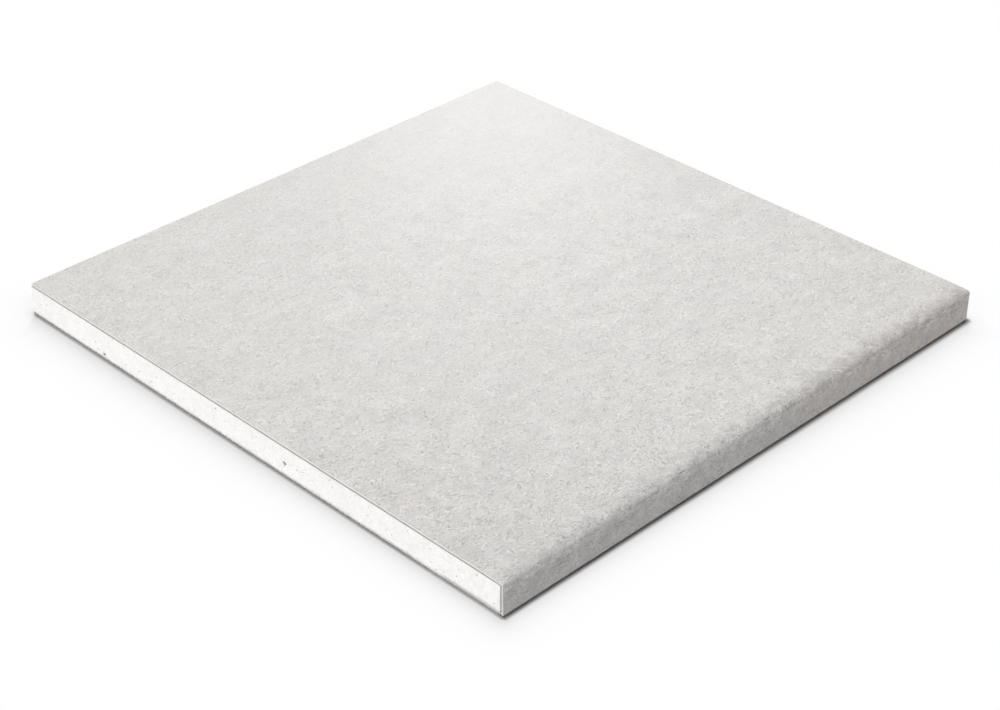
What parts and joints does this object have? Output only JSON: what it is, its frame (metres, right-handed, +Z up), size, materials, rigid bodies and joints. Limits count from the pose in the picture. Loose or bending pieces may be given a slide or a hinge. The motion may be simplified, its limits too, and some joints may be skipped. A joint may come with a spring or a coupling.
{
  "type": "drywall sheet",
  "caption": "Square-cut piece of gypsum wallboard lying flat: white core between grey papers, face paper wrapped round the bound edge, core showing at the cut ends.",
  "frame": {"origin": "under the middle of the board, on the surface that its back lies on", "axes": "+X across the board to the paper-bound edge, +Y along the bound edge, +Z up out of the face"},
  "size_m": [0.24, 0.235, 0.0125],
  "materials": {
    "gypsum": "matte",
    "face_paper": "matte",
    "back_paper": "matte"
  },
  "bodies": {
    "root": {"gypsum_core": "gypsum", "face_paper": "face_paper", "back_paper": "back_paper"}
  },
  "joints": []
}
